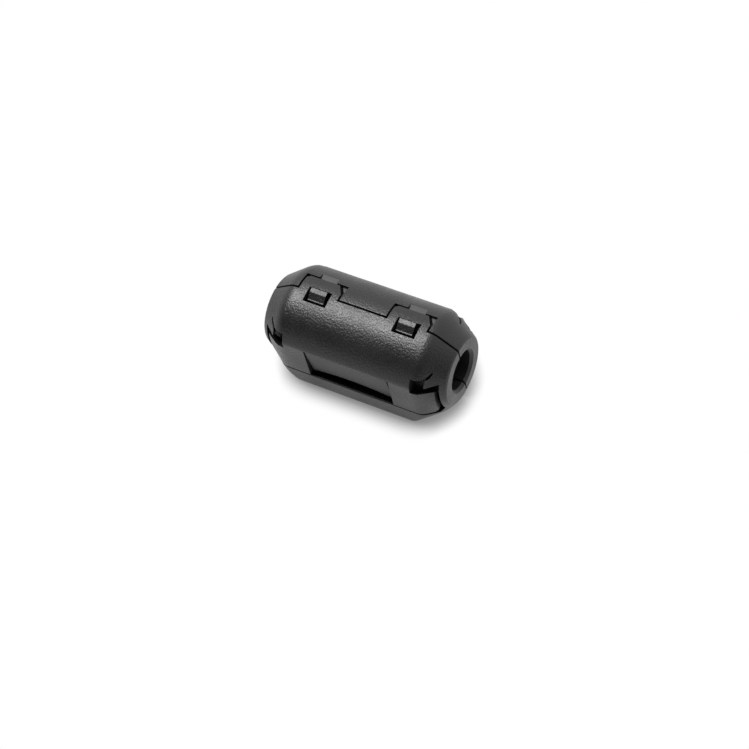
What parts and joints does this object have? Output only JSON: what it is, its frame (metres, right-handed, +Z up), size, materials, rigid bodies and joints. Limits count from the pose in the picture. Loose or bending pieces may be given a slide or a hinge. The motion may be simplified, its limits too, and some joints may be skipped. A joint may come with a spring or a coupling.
{
  "type": "clip-on ferrite bead",
  "caption": "Split ferrite core in a hinged plastic case with tapered ends that snaps shut around a cable.",
  "frame": {"origin": "bottom centre of the closed bead: the middle of the foot flat on the hinge side", "axes": "+X along the cable passage, +Z up from the hinge to the latches, -Y out of the half with the latch windows"},
  "size_m": [0.0248, 0.012, 0.013],
  "materials": {
    "case": "moulded black polyamide, fine spark-eroded grain",
    "core": "fired and tumbled grey-black ferrite ceramic"
  },
  "bodies": {
    "hook_side": {"hook_half": "case", "hinge_straps": "case", "core_back": "core"},
    "window_side": {"window_half": "case", "latch_tab_left": "case", "latch_tab_right": "case", "core_front": "core"}
  },
  "joints": [
    {"name": "case_hinge", "type": "hinge", "parent": "hook_side", "child": "window_side", "pos_m": [0, 0, -0.0002], "axis": [1, 0, 0], "range_deg": [0, 180], "deforming": ["latch_tab_left", "latch_tab_right", "hinge_straps"]}
  ]
}
